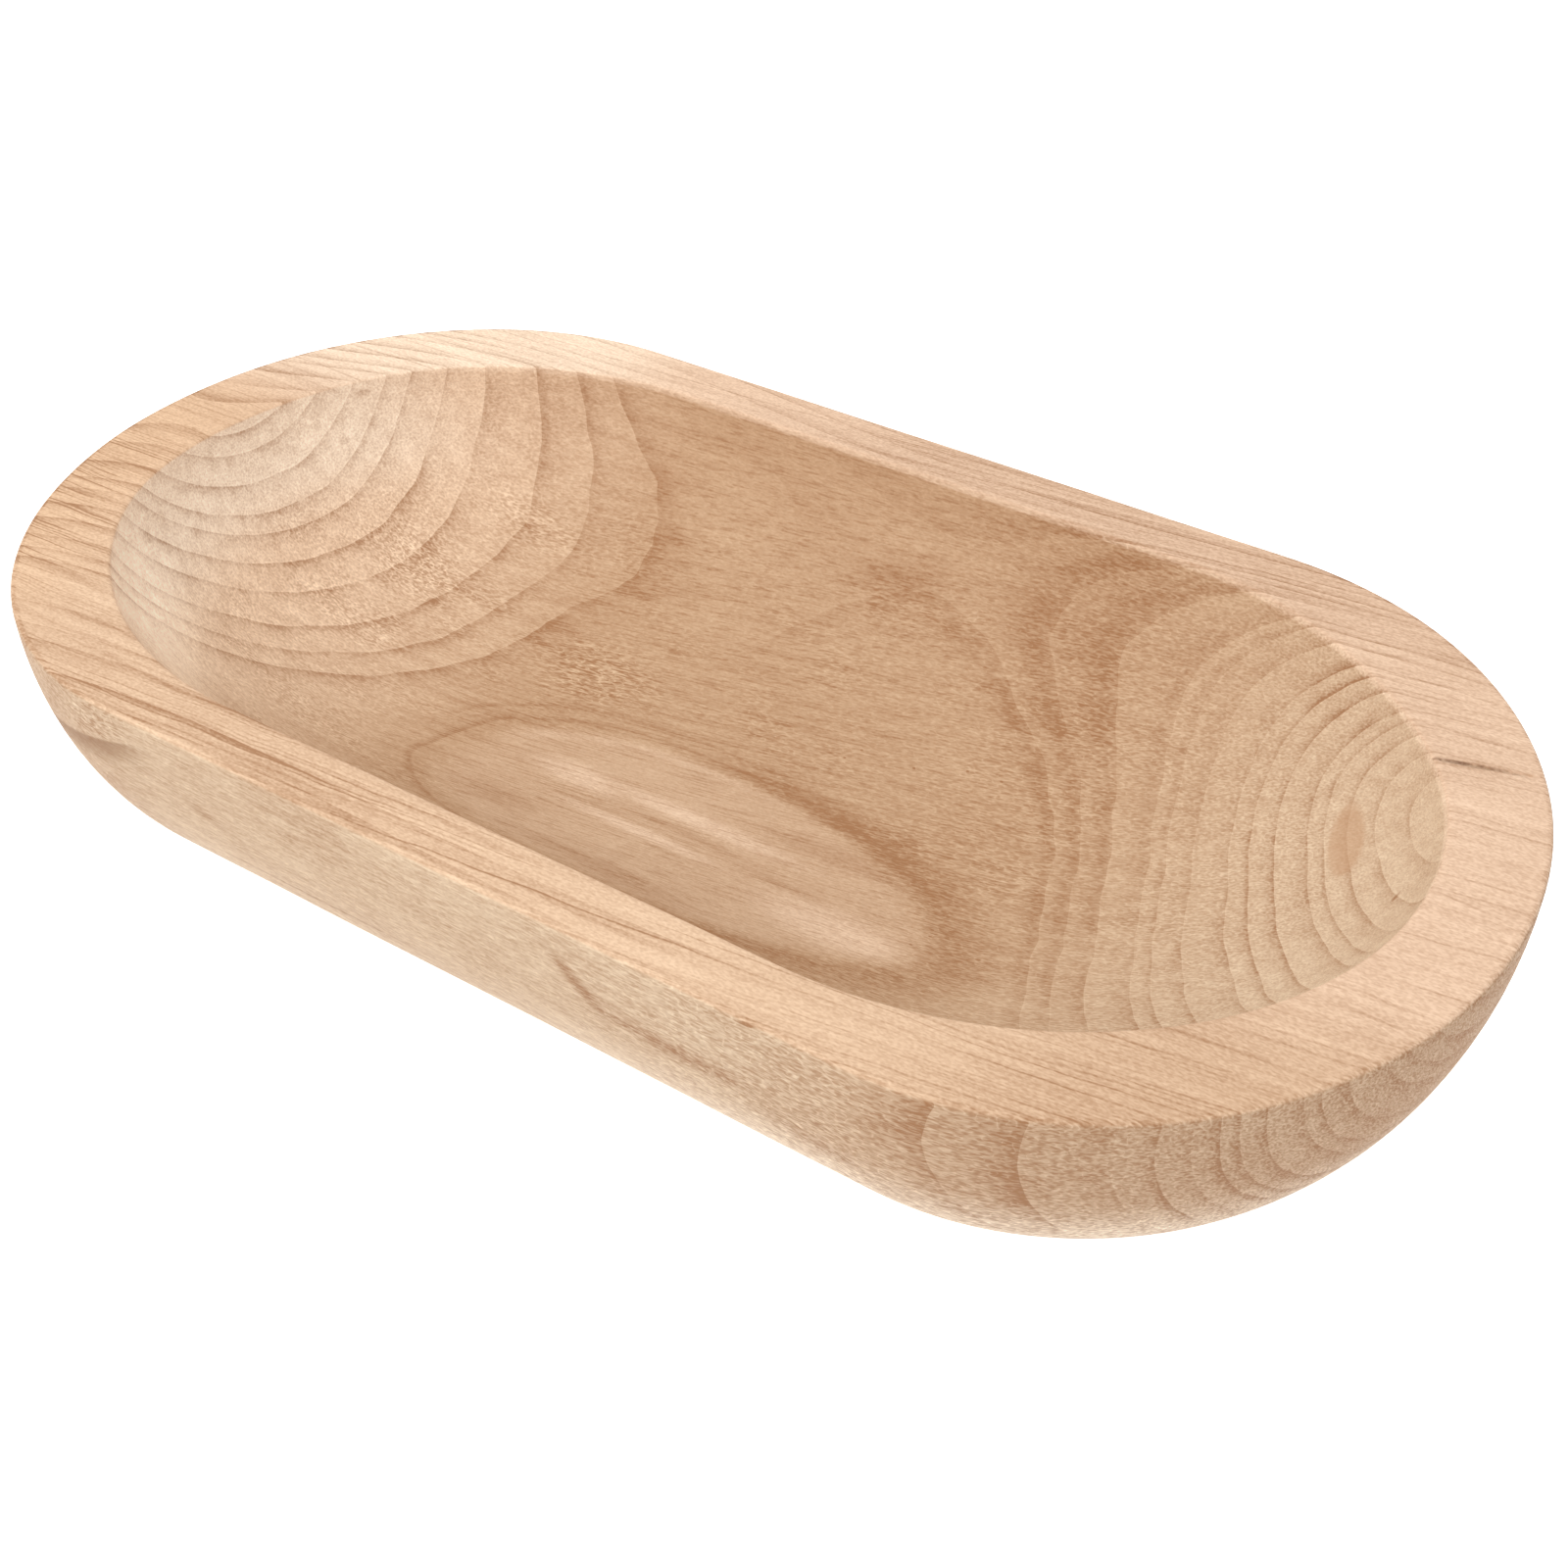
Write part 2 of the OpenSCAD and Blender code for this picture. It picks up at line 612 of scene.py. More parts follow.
def wander(where, length, width, amount):
    """Pushes the place aside by up to half the amount, in long cells."""
    middled = node("VectorMath", operation="SUBTRACT")
    put(noise_node(where, length, width, 1).outputs["Color"], middled.inputs[0])
    put((0.5, 0.5, 0.5), middled.inputs[1])
    moved = node("VectorMath", operation="MULTIPLY_ADD")
    put(middled.outputs[0], moved.inputs[0])
    put((0, amount, amount), moved.inputs[1])
    put(where, moved.inputs[2])
    return moved.outputs[0]


def apart(where):
    """The three numbers of a place."""
    made = node("SeparateXYZ")
    put(where, made.inputs[0])
    return made.outputs


loose = wander(wander(place, 70, 26, 1.6), 25, 9, 0.5)
x, y, z = apart(place)
loose_x, loose_y, loose_z = apart(loose)
print("places known in mm, from", len(tree.nodes), "nodes")

# %% [markdown]
# ## Where a point lies in the log
# Growth rings are long tubes round the heart of the log, and the bowl is cut out across them.
# Every point of the surface only has to know how far from the heart line it was in the tree.
# The heart line isn't straight. It runs just under the rim in the middle, climbs steeply
# towards the left tip, and dips before it climbs again on the right, so each end shows its own
# nest of rings. The tubes are flattened too, most of all in the middle, and lean a little.
# Each of these is a smooth curve along the bowl: a first share, plus the next ones times the
# place along the bowl, its square and so on.

# %% Measure the distance from the heart
HEART_SIDE_SHARES = (4.3, 9.5, 76, 14, -61, -13)
HEART_HEIGHT_SHARES = (71.2, 3.2, -23, -75, 72, 49)
FLATNESS_SHARES = (1.84, 0.38, -0.89)
LEAN_SHARES = (0.036, -0.083, -0.33)
GROWTH_SHARES = (1, 0.073, -0.09)


def curve_of(along, *shares):
    """A smooth curve along the bowl."""
    total = shares[-1]
    for share in reversed(shares[:-1]):
        total = more(along, total, share)
    return total


along = calc("DIVIDE", x, half_length)
aside = less(loose_y, curve_of(along, *HEART_SIDE_SHARES))
below = less(loose_z, curve_of(along, *HEART_HEIGHT_SHARES))
below = times(below, curve_of(along, *FLATNESS_SHARES))
straight_line = calc("SQRT", more(aside, aside, times(below, below)))
leaning = less(straight_line, times(curve_of(along, *LEAN_SHARES), aside))
heart_distance = times(leaning, curve_of(along, *GROWTH_SHARES))
left_height = sum(share * (-1) ** power for power, share in enumerate(HEART_HEIGHT_SHARES))
print("heart", HEART_HEIGHT_SHARES[0], "mm up in the middle,", round(left_height), "at the left tip")

# %% [markdown]
# ## Growth rings
# A tree grows more in a wet year, so the rings aren't evenly wide. A ramp turns the distance
# from the heart into a count of years: each stop is the edge of one ring. The stops carry two
# more numbers in their colour: how strong that edge looks, and how wide the ring behind it is.
# The two ends of the bowl have slightly different rings, so there are two ramps, mixed over
# the middle. The ramps only count, and the lines are drawn from the count, because a ramp is
# stored too coarsely to hold a line half a millimetre wide.

# %% Count the rings
LEFT_RINGS = (
    (14, 0.6), (25, 0.7), (35, 0.8), (39, 0.5), (45, 0.8), (51, 0.7), (55, 0.7), (61, 0.9), (67, 0.8),
    (74, 0.9), (79, 0.8), (83, 1.0), (90, 0.1), (94, 0.0), (99, 0.5), (107, 0.6), (112, 0.9),
    (122, 0.9), (128, 0.8), (132, 1.0), (140, 0.5), (147, 0.5), (156, 0.5), (166, 0.4), (176, 0.4),
    (186, 0.3),
)
RIGHT_RINGS = (
    (14.5, 0.6), (24.6, 0.7), (32, 0.7), (38, 0.6), (42, 0.7), (50, 0.8), (56, 0.9), (60.5, 0.7), (69, 0.6),
    (74.7, 0.7), (78, 0.6), (85.5, 0.8), (90.5, 0.8), (94, 1.0), (99, 0.3), (105, 0.9), (112, 0.3),
    (125, 0.5), (135, 0.5), (142, 0.3), (147, 0.4), (151, 0.3), (156, 0.5), (166, 0.4), (176, 0.4),
    (186, 0.3),
)
RING_REACH = 200
WIDEST = 20
ring_total = len(LEFT_RINGS) + 1


def ring_ramp(rings):
    """Distance from the heart to a colour: count of years, strength of the edge, width."""
    made = node("ValToRGB")
    stops = made.color_ramp.elements
    edges = [edge for edge, strength in rings]
    widths = [after - edge for edge, after in zip(edges, [*edges[1:], RING_REACH])]
    stops[0].position = 0
    stops[0].color = (0, 0, edges[0] / WIDEST, 1)
    stops[1].position = 1
    stops[1].color = (1, 0, 0.5, 1)
    for count, (edge, strength) in enumerate(rings, start=1):
        stop = stops.new(edge / RING_REACH)
        stop.color = (count / ring_total, strength, widths[count - 1] / WIDEST, 1)
    put(calc("DIVIDE", heart_distance, RING_REACH), made.inputs[0])
    return made.outputs[0]


both_ends = blend(fade(x, -55, 65), ring_ramp(LEFT_RINGS), ring_ramp(RIGHT_RINGS))
counted, strength, width = apart(both_ends)
season = calc("FRACT", times(counted, ring_total))
ring_width = times(width, WIDEST)
since_edge = times(season, ring_width)
print(ring_total, "rings out to", RING_REACH, "mm from the heart")

# %% [markdown]
# ## Hollow, rim and outside
# The same tree is cut in three ways. The hollow cuts the rings across, the rim cuts them
# along, and the outside was sanded differently again. So the wood has to know which of the
# three a point belongs to. The note that the vertices carry tells the hollow from the
# outside, and the height tells the rim.

# %% Split the surface
inside_note = node("Attribute", attribute_name="hollow_share").outputs["Fac"]
in_bowl = fade(inside_note, 0.97, 1.0)
hollow = times(in_bowl, fade(z, 71.6, 70))
rim = fade(z, 71, 71.7)
outside = fade(inside_note, 0.0, 0.03, 1, 0)
depth = fade(z, 72, 20)
print("hollow, rim and outside told apart")

# %% [markdown]
# ## Where the rings show
# The tree didn't grow evenly all round, so a noise makes stretches of each line fainter. The
# innermost floor runs along the rings and not across them, and shows none. The right half of
# the rim, the long outer wall and the foot of the wall show few. Two stretches stand out: an
# arc on the far side of the right end is darker, and the far slope on the left is fainter.

# %% Place the rings
no_rings = times(hollow, fade(heart_distance, 94.5, 97.5))
right_rim = times(fade(x, 150, 195), fade(heart_distance, 75, 45))
near_right = times(fade(x, 50, 100), fade(y, 20, -20))
plain_rim = times(rim, most(right_rim, near_right))
plain_wall = times(outside, fade(x, 110, 92), fade(x, -190, -140, 0.2, 0.9))
plain_foot = most(fade(x, 150, 190, 0, 0.5), fade(z, 46, 18, 0, 0.85))
shown = less(1, most(no_rings, plain_rim, plain_wall))
shown = times(shown, less(1, times(outside, plain_foot)))
line_luck = fade(cloud(loose, 50, 14), 0.36, 0.6, 0.45, 1.0)
dark_arc = times(hollow, fade(off(x, 156), 6, 16, 1, 0), fade(y, 68, 76))
far_slope = times(hollow, fade(y, 30, 80), fade(x, 0, -60))
edge_strength = times(strength, line_luck, shown)
edge_strength = times(edge_strength, more(dark_arc, 1.1, 1), more(far_slope, -0.3, 1))
print("rings placed with", len(tree.nodes), "nodes so far")

# %% [markdown]
# ## The edge of a ring
# Winter stops the growth, so each ring starts with a crisp thin line. Behind it lies the
# spring wood, darker because it is full of open pores, and it fades out towards summer. So
# the line is sharp on one side and soft on the other. Between the floor and the right end
# the cut is so flat that even the line is soft.

# %% Draw the ring edges
thin_line = fade(since_edge, 0.1, 1.3, 1, 0)
soft_line = times(fade(since_edge, 0.0, 1.4), fade(since_edge, 1.4, 5, 1, 0))
soft_rings = times(hollow, fade(x, 0, 40), fade(x, 150, 100))
thin_line = more(soft_rings, less(soft_line, thin_line), thin_line)
widest_band = calc("ADD", 7, times(outside, fade(x, 120, 60, 2, -2)))
band_end = calc("MINIMUM", more(ring_width, 0.55, 0.6), widest_band)
spring = fade(since_edge, 0.2, band_end, 1, 0)
lead_in = fade(season, 0.9, 1.0)
print("ring edges are 1.3 to 5 mm wide")

# %% [markdown]
# ## Soft spots
# Some parts of the grain belong to one place only. A soft oval marks such a place: it is
# measured in two of the three directions, it may be slanted, and its core can be hard or soft.

# %% Write the spot helper
def spot(across, up, across_at, up_at, long_way, short_way, turn=0.0, core=0.4):
    """A soft oval: 1 in its core, 0 outside it."""
    right = less(across, across_at)
    high = less(more(right, -turn, up), up_at)
    right = calc("DIVIDE", right, long_way)
    high = calc("DIVIDE", high, short_way)
    far = calc("SQRT", more(right, right, times(high, high)))
    return fade(far, core, 1.0, 1.0, 0.0)


print("spots can be placed")

# %% [markdown]
# ## The way of the fibres
# The fibres lie a few degrees off the length of the bowl, and more so deep down. They could
# be turned by a fixed angle, but then the rim and the floor would show the same slant, so the
# turn grows with the depth.

# %% Turn the fibres
TURN_AT_RIM = 0.09
TURN_GROWS = 0.035
TURN_DEEP = 0.1

turned = curve_of(along, 0, TURN_AT_RIM * half_length, TURN_GROWS * half_length)
turned = more(times(x, depth), TURN_DEEP, turned)
joined = node("CombineXYZ")
for value, socket in zip((x, less(y, turned), z), joined.inputs):
    put(value, socket)
fibre = joined.outputs[0]
fibre_y = apart(fibre)[1]
print("fibres turned by", TURN_AT_RIM, "at the rim and", TURN_AT_RIM + TURN_DEEP, "deep down")

# %% [markdown]
# ## Pores and streaks
# One kind of noise draws them all. Its cells are long along the fibres and narrow across, so
# it shows as dots where the surface cuts the fibres and as dashes where it runs along them:
# the shape of the bowl does the cutting. Two short noises make the pores: stippled dots, and
# thin worm lines where the noise passes its middle. The pores stand closer in a few patches.

# %% Grow the pores
def centred(value):
    """The same value with its middle at zero."""
    return less(value, 0.5)


stipple = fade(cloud(fibre, 2.4, 0.6, 0), 0.33, 0.67)
worms = fade(off(cloud(fibre, 3.6, 1.2, 0), 0.5), 0.0, 0.08, 1, 0)
pores = less(times(centred(stipple), 0.6), times(centred(worms), 0.5))
grit = centred(fade(cloud(place, 1.1, 0.55, 0), 0.3, 0.7))
dashes = fade(cloud(fibre, 22, 0.6, 0), 0.54, 0.7)
wall_grain = centred(fade(cloud(fibre, 34, 0.6, 1), 0.35, 0.65))
streaks = cloud(fibre, 60, 1.1, 2)
broad = cloud(fibre, 160, 4, 1)
mottle = cloud(place, 34, 26, 2)
patchy = most(
    times(spot(x, y, -145, 27, 32, 18, 0, 0), 0.7),
    spot(x, y, -68, 22, 34, 20, 0, 0.2),
    fade(cloud(place, 26, 18, 1), 0.48, 0.7, 0, 0.35),
)
print("pores, dashes and streaks make", len(tree.nodes), "nodes so far")

# %% [markdown]
# ## Fine lines on the rim
# The rim is cut along the fibres, so it shows long thin lines side by side. They are rows of
# an even spacing, each a little off its place, with a strength of its own and gaps in it. A
# wider and a closer set lie over each other, and some lines gather in bundles.

# %% Rule the fine lines
LONG_SPACING = 3.2
CLOSE_SPACING = 1.25
ROWS_ON = 40


def fine_lines(spacing, thick, offset):
    """Rows of thin lines along the fibres, from 0 to 1."""
    bent = more(centred(cloud(place, 150, 40, 1)), 10, fibre_y)
    bent = more(centred(cloud(place, 20, 12, 1)), 2.2, bent)
    row = calc("ADD", calc("DIVIDE", bent, spacing), offset)
    row_luck = node("TexWhiteNoise", noise_dimensions="1D")
    put(calc("FLOOR", row), row_luck.inputs["W"])
    chance = row_luck.outputs["Value"]
    from_line = off(calc("FRACT", row), fade(chance, 0, 1, 0.25, 0.75))
    drawn = fade(from_line, 0.0, thick, 1, 0)
    gaps = fade(cloud(fibre, 110, 3, 1), 0.4, 0.58, 0.1, 1)
    return times(drawn, fade(chance, 0.1, 0.9, 0.15, 1), gaps)


long_lines = times(fine_lines(LONG_SPACING, 0.2, 0), 0.85)
close_lines = fine_lines(CLOSE_SPACING, 0.3, ROWS_ON)
bundles = fade(cloud(fibre, 220, 4.5, 1), 0.5, 0.7)
print("fine lines every", CLOSE_SPACING, "and", LONG_SPACING, "mm")

# %% [markdown]
# ## The pale oval in the floor
# Off the middle of the floor the cut just grazes one ring, and a pale oval shows where the
# next one lies open. The real one is no plain ellipse: its left half is fuller and its right
# half is leaner. So its own distance, 0 in the middle and 1 at its edge, is measured in plan
# with a power that changes along it, and a slow noise unsettles it a little.

# %% Shape the pale oval
OVAL_X = 5
OVAL_Y = -33
OVAL_LONG = 92
OVAL_SHORT = 42
OVAL_WAVE = 0.012

oval_wave = fade(cloud(loose, 60, 14), 0.3, 0.7, -OVAL_WAVE, OVAL_WAVE)
oval_right = calc("DIVIDE", less(x, OVAL_X), OVAL_LONG)
oval_up = calc("DIVIDE", less(loose_y, OVAL_Y), OVAL_SHORT)
squareness = fade(x, -20, 40, 2.46, 1.84)
right_part = calc("POWER", calc("ABSOLUTE", oval_right), squareness)
up_part = calc("POWER", calc("ABSOLUTE", oval_up), squareness)
rounded = calc("POWER", calc("ADD", right_part, up_part), calc("DIVIDE", 1, squareness))
oval = calc("ADD", rounded, oval_wave)
in_oval = times(hollow, fade(oval, 0.78, 0.96, 1, 0))
print("pale oval", OVAL_LONG * 2, "by", OVAL_SHORT * 2, "mm")

# %% [markdown]
# ## The oval's edge
# A thin line runs round the oval, with a second one outside it along the upper left. A dark
# band of spring wood follows the edge, strongest along its upper side and at its right end.

# %% Draw the oval's edge
oval_line = times(fade(oval, 0.975, 0.99), fade(oval, 0.99, 1.03, 1, 0))
second_line = times(fade(oval, 1.09, 1.1), fade(oval, 1.1, 1.14, 1, 0))
oval_shade = times(fade(oval, 0.86, 0.97), fade(oval, 0.99, 1.24, 1, 0))
upper = fade(oval_up, 0.2, 0.6)
upper_left = times(upper, fade(x, 40, -20))
dark_top = times(upper, fade(off(x, 40), 20, 75, 1, 0.2))
dark_foot = times(fade(oval_up, -0.4, -0.8), fade(x, -40, 10, 0, 0.75))
dark_end = fade(x, 50, 90, 0.2, 0.6)
oval_dark = times(oval_shade, most(dark_top, dark_foot, dark_end))
line_share = times(fade(x, -30, 20, 0.7, 0.35), fade(x, 60, 90, 1, 0.5))
oval_brown = more(oval_line, line_share, oval_dark)
oval_brown = more(times(second_line, upper_left), 0.6, oval_brown)
oval_pale = times(fade(oval, 0.8, 0.88), fade(oval, 0.92, 0.96, 1, 0), upper_left)
print("two lines and a band follow the oval")

# %% [markdown]
# ## Streaks in the oval
# Inside the oval the wood is cut almost flat, so its layers show as broad pale and brown
# streaks. Each row is one long soft spot: its place along and across the bowl, half its
# length and half its width.

# %% Streak the oval
STREAK_CORE = 0.2
PALE_STREAKS = (
    (-72, -13, 12, 4), (-40, -22, 24, 8), (2, -19, 52, 5.5), (62, -40, 36, 14), (-8, -35, 40, 4),
)
BROWN_STREAKS = (
    (5, -26.5, 40, 2.4), (38, -30, 24, 2.8), (-52, -49, 26, 11), (-5, -62, 45, 7), (45, -9, 36, 6),
)

for streak in PALE_STREAKS:
    oval_pale = most(oval_pale, spot(loose_x, loose_y, *streak, 0, STREAK_CORE))
for streak in BROWN_STREAKS:
    brown_streak = times(spot(loose_x, loose_y, *streak, 0, STREAK_CORE), 0.5)
    oval_brown = most(oval_brown, brown_streak)
oval_brown = times(hollow, oval_brown)
oval_pale = times(in_oval, more(oval_pale, 0.7, 0.3))
print(len(PALE_STREAKS), "pale and", len(BROWN_STREAKS), "brown streaks in the oval")

# %% [markdown]
# ## Knot and patches
# No two blocks are alike, and a few marks make this one itself. Low on the left wall lies the
# brown wedge of a knot, crisp along its upper side and soft below, under a patch of worm
# lines. By the right tip the hollow has a smooth darker patch. Along the crack a painted shade
# lies on the rim, and a painted shadow darkens its groove.

# %% Place the knot and the patches
near_wall = times(outside, fade(y, 0, -60))
under_knot = less(more(x, 0.3, 96.5), loose_z)
knot = times(fade(under_knot, 0, 1.2), fade(under_knot, 1.5, 13, 1, 0))
knot = times(knot, near_wall, fade(x, -98, -122), fade(x, -175, -150))
worm_patch = times(near_wall, spot(x, z, -124, 65, 20, 12, 0, 0.3), fade(under_knot, 0, -2))
tip_patch = times(hollow, spot(loose_y, loose_x, 43, 172.5, 13, 5.2, -0.33, 0.7))
dark_tip = times(hollow, spot(x, y, 4, 87, 30, 7, 0.12, 0.0))
# Painted shade beside the crack, and a painted shadow in its groove.
painted_crack_shade = times(rim, spot(x, y, 198, 57.9, 17, 2.2, 0.28, 0.0))
painted_crack_shadow = times(rim, spot(x, y, 196, 57.4, 14, 1.1, 0.28, 0.2))
print("knot, patches and crack placed")

# %% [markdown]
# ## Pin holes, dots and cuts
# Some pin holes stand in the floor and two dots on the left slope, and the tool slipped
# twice: in the right end of the hollow, and at the top of the near wall.

# %% Place the small marks
PIN_HOLES = (
    (25, 34), (22, 29), (43, 35), (58, 41), (69, 42), (71, 37), (82, -31), (84, -24), (83, -21),
)
PIN_RADIUS = 0.7

pins = times(most(*[spot(x, y, *pin, PIN_RADIUS, 0.5) for pin in PIN_HOLES]), hollow)
left_dots = most(spot(y, z, 51, 68, 2.6, 1.5), times(spot(y, z, 38, 56, 2.5, 1.5), 0.6))
left_dots = times(left_dots, hollow, fade(x, 0, -60))
end_cut = times(hollow, fade(x, 60, 100), spot(y, z, 16, 56, 2.0, 1.1, 0.5, 0.2))
wall_cut = times(fade(y, -110, -120), spot(x, z, 93, 71, 4.5, 0.7, 0.1, 0.2))
small_cuts = most(end_cut, wall_cut)
print(len(PIN_HOLES), "pin holes, two dots and two cuts")

# %% [markdown]
# ## Single streaks
# On the rim a few lines stand out from the fine ones: long dark streaks on the near side and
# short thin ones at the tips. They sway a little with a slow noise. The near wall has four
# broad ones. Each row of a table is one streak: its place in two directions, half its length,
# half its width and its slant. The wall's rows also hold a core and a strength.

# %% Place the streaks
RIM_STREAKS = (
    (-122, -107, 48, 1.5, 0.0), (-90, -115.5, 70, 1.6, 0.05), (-108, -122, 36, 1.3, 0.08),
    (-20, -110, 60, 1.4, 0.03), (-35, -122.5, 78, 1.8, 0.0), (-60, -119, 60, 2.6, 0.03),
    (40, -117, 50, 1.5, 0.02), (-178, -85, 26, 2.4, 0.0), (-199, -57.5, 22, 1.6, 0.03),
    (-204, -50, 20, 1.2, 0.06), (-150, -97, 30, 1.2, 0.03), (214, 4, 16, 0.8, 0.0),
    (211, -38, 18, 0.8, 0.07), (211, -44.5, 15, 0.7, 0.05), (160, 93, 15, 0.8, 0.09),
    (171, 85.5, 18, 0.8, 0.17), (176, 80.5, 16, 0.7, 0.2), (195, 69.5, 18, 0.9, 0.12),
)
WALL_STREAKS = (
    (42, 56, 14, 6, -0.9, 0.0, 1), (72, 47.5, 32, 5, -0.03, 0.0, 1),
    (-88, 48, 18, 5, -0.35, 0.0, 0.6), (-55, 29, 70, 1.0, 0.0, 0.2, 0.6),
)
RIM_STREAK_CORE = 0.1

wavy_y = more(centred(cloud(place, 20, 12, 2)), 4.5, y)
rim_streaks = most(*[spot(x, wavy_y, *streak, RIM_STREAK_CORE) for streak in RIM_STREAKS])
rim_streaks = times(rim_streaks, rim)
wall_streaks = most(*[times(spot(x, loose_z, *oval_of), force) for *oval_of, force in WALL_STREAKS])
wall_streaks = times(wall_streaks, outside, fade(y, -40, -80))
print(len(RIM_STREAKS), "streaks on the rim and", len(WALL_STREAKS), "on the wall")

# %% [markdown]
# ## Tones of the hollow
# The wood is pale straw at both ends and browner down in the middle of the hollow. The right
# end is a little greyer than the left. High on the left end the paler wood is partly painted
# light, where the lamp leaves the wall in shade. The crisp inner edge catches the light, so a
# painted highlight follows it as a pale line, weak by the left tip.

# %% Tone the hollow
RIM_WHITE = tone(255, 226, 197)
LEFT_PALE = tone(255, 233, 208)
LEFT_END = tone(242, 210, 179)
RIGHT_END = tone(223, 195, 164)
RIGHT_PALE = tone(228, 201, 170)
MIDDLE_TAN = tone(209, 173, 138)

towards_tips = fade(calc("ABSOLUTE", x), 70, 185)
end_tone = blend(fade(x, -60, 60), LEFT_END, RIGHT_END)
end_tone = blend(fade(x, 140, 195), end_tone, RIGHT_PALE)
base_tone = blend(towards_tips, MIDDLE_TAN, end_tone)
# Paler wood high on the left end, and partly painted light.
pale_and_lit_left = times(fade(x, -110, -190), fade(depth, 0.8, 0.2), fade(y, 90, 40))
base_tone = blend(pale_and_lit_left, base_tone, LEFT_PALE)
base_tone = blend(oval_pale, base_tone, LEFT_END)
# Painted highlight along the inner edge.
painted_edge_highlight = times(in_bowl, fade(z, 69.5, 70.5), fade(x, -195, -150, 0.1, 0.6))
base_tone = blend(painted_edge_highlight, base_tone, RIM_WHITE)
print("tan of the floor", [round(value, 3) for value in MIDDLE_TAN[:3]])

# %% [markdown]
# ## Tones outside and on the rim
# The outer wall is duller than the rest, because sanding stopped earlier there. It turns tan
# at the right, and its foot is painted paler, as light thrown up from the floor. The rim is
# the palest part: whitest at the far left, a little warmer along the near side and at the left tip.

# %% Tone the outside and the rim
OUTER_PALE = tone(222, 193, 162)
OUTER_TAN = tone(210, 176, 144)
RIM_PALE = tone(242, 206, 175)
RIM_TAN = tone(235, 199, 165)
RIM_TIP = tone(237, 198, 161)

outer_right = times(fade(x, 80, 150), fade(z, 10, 30))
# Painted light: the foot of the outer wall is paler, as if lit from the floor.
painted_bounce_foot = times(fade(z, 44, 16), fade(x, 0, 90, 0.3, 1))
outer_tone = blend(painted_bounce_foot, blend(outer_right, OUTER_PALE, OUTER_TAN), LEFT_PALE)
base_tone = blend(outside, base_tone, outer_tone)
left_tip = fade(x, -150, -215)
far_left = times(fade(y, 20, 70), fade(x, -90, -140))
rim_tone = blend(fade(y, -25, -85), RIM_PALE, RIM_TAN)
rim_tone = blend(times(left_tip, fade(y, 60, 0)), rim_tone, RIM_TIP)
base_tone = blend(rim, base_tone, blend(far_left, rim_tone, RIM_WHITE))
print("pale of the rim", [round(value, 3) for value in RIM_PALE[:3]])

# %% [markdown]
# ## How strong each grain is
# The same grain shows more in one place than in another. Lines stand dense at the left tip
# and along both sides of the rim. Pores show most on the deep slopes and on the outer wall
# at the right, and least in the pale oval and on the rim.

# %% Weigh the lines and pores
dense_tip = times(left_tip, fade(y, 20, -40))
far_side = times(fade(y, 90, 115), fade(x, -60, 0))
close_grain = most(dense_tip, times(most(far_side, fade(y, -60, -110)), 0.4))
rim_lines = more(close_lines, more(close_grain, 2.5, 0.15), long_lines)
rim_lines = times(rim, more(bundles, 0.15, rim_lines))

flat_floor = times(hollow, fade(towards_tips, 0.0, 0.35, 1, 0))
deep_slope = times(hollow, fade(depth, 0.35, 0.85), fade(x, 60, -20, 0.5, 1))
right_slope_pores = times(hollow, fade(off(x, 110), 40, 70, 1, 0))
pore_share = more(flat_floor, fade(x, -20, 50, -0.12, 0.08), 0.32)
pore_share = more(deep_slope, more(patchy, 0.8, 0.1), pore_share)
pore_share = more(right_slope_pores, 0.15, pore_share)
pore_share = times(pore_share, fade(rim, 0, 1, 1, 0.5), fade(in_oval, 0, 1, 1, 0.5))
pore_share = times(pore_share, more(outside, fade(x, 20, 120, -0.1, 1.5), 1))
pore_share = more(worm_patch, 0.45, pore_share)
print("lines and pores weighed with", len(tree.nodes), "nodes so far")

# %% [markdown]
# ## Browner and paler parts
# Here and there the block is a touch browner or paler as a whole, mostly where the cut runs
# through more spring wood. Three parts are painted light and shade instead: painted shade on
# the near slope of the hollow, painted light on its near left wall, and on the right of the
# outer wall painted light low down and painted shade higher up. Each part is a place and the
# brownness that it brings. A part with a minus sign brings light instead.

# %% Name the browner parts
# Painted shade on the near slope of the hollow, under the near rim.
painted_near_shade = times(hollow, fade(y, -55, -85), fade(calc("ABSOLUTE", x), 150, 60))
# Painted light on the near left wall of the hollow, which the lamp leaves in shade.
painted_left_light = times(hollow, spot(x, y, -150, -76, 56, 24, -0.55, 0.1), fade(z, 30, 50))
# Painted light low on the right of the outer wall, painted shade higher up.
painted_bounce_right = times(outside, fade(x, 80, 130), fade(x, 160, 200, 1, 0))
near_corner = times(rim, fade(y, -35, -65), fade(x, 120, 165))
far_left_wall = times(hollow, fade(y, 60, 85), fade(x, -60, -100))

PLACE_SHARES = (
    (times(rim, fade(y, 80, 110)), fade(x, -80, 0, -0.03, 0.1)),
    (flat_floor, 0.07),
    (painted_left_light, -0.28),
    (times(rim, far_left), -0.1),
    (painted_near_shade, fade(x, -60, 20, 0.03, 0.22)),
    (painted_bounce_right, fade(z, 20, 60, -0.07, 0.07)),
    (times(outside, fade(x, 195, 225)), 0.06),
    (near_corner, 0.18),
    (far_left_wall, 0.07),
    (times(outside, fade(x, -100, -150)), 0.18),
)
print(len(PLACE_SHARES), "places are browner or paler")

# %% [markdown]
# ## All the brownness
# The grain is a sum: each part brings its share of the darker tone. It could be painted layer
# on layer, but then each would hide the ones below. In a sum a pore shows through a ring and
# a ring through a streak, as in wood.

